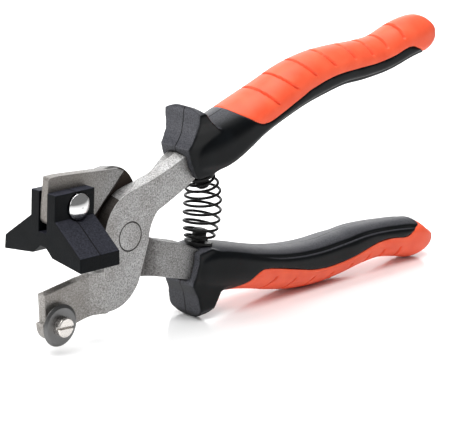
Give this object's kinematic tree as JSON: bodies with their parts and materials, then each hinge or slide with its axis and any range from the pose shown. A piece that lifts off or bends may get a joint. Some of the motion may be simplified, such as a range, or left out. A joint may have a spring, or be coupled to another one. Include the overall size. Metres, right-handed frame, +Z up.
{
  "type": "tile nippers",
  "caption": "Hand tile nippers: spring-opened levers with soft grips, a scoring wheel and V anvil on one jaw and a winged breaker foot on the other.",
  "frame": {"origin": "centre of the base of the standing tool's bounding box, on the surface that it stands on", "axes": "+X from the jaws to the handle ends, +Y across the tool away from the scoring wheel, +Z up in the plane in which the levers open"},
  "size_m": [0.2044, 0.039, 0.0974],
  "materials": {
    "blasted_steel": "blasted forged steel, satin",
    "rivet_steel": "ground flush, satin",
    "carbide": "ground carbide",
    "plated_steel": "nickel plated, satin",
    "chrome": "polished chrome",
    "spring_wire": "black oxide, semi-gloss",
    "foot_plastic": "fine spark texture",
    "post_plastic": "satin",
    "grip_black": "satin moulded",
    "grip_orange": "soft satin overmould"
  },
  "bodies": {
    "rear_lever": {"rear_lever": "blasted_steel", "pivot_rivet": "rivet_steel", "foot_bush": "rivet_steel", "foot_rivet": "chrome", "foot_rivet_cap": "chrome", "lower_grip_core": "grip_black", "lower_grip_cover": "grip_orange", "lower_spring_post": "post_plastic", "return_spring": "spring_wire"},
    "front_lever": {"front_lever": "blasted_steel", "upper_grip_core": "grip_black", "upper_grip_cover": "grip_orange", "upper_spring_post": "post_plastic", "wheel_bush": "plated_steel", "wheel_spacer": "plated_steel", "wheel_screw": "plated_steel", "axle_washer": "plated_steel", "axle_lock_washer": "plated_steel", "axle_nut": "plated_steel"},
    "breaker_foot": {"breaker_foot": "foot_plastic"},
    "scoring_wheel": {"scoring_wheel": "carbide"}
  },
  "joints": [
    {"name": "handle_pivot", "type": "hinge", "parent": "rear_lever", "child": "front_lever", "pos_m": [-0.06341, 0, 0.03705], "axis": [0, 1, 0], "range_deg": [0, 16], "stiffness_Nm_per_rad": 2, "springref_deg": -8.59, "deforming": ["return_spring"]},
    {"name": "foot_swivel", "type": "hinge", "parent": "rear_lever", "child": "breaker_foot", "pos_m": [-0.08976, 0, 0.05286], "axis": [0, 1, 0], "range_deg": [-8, 8]},
    {"name": "wheel_spin", "type": "hinge", "parent": "front_lever", "child": "scoring_wheel", "pos_m": [-0.09466, 0, 0.01091], "axis": [0, 1, 0], "continuous": true}
  ]
}
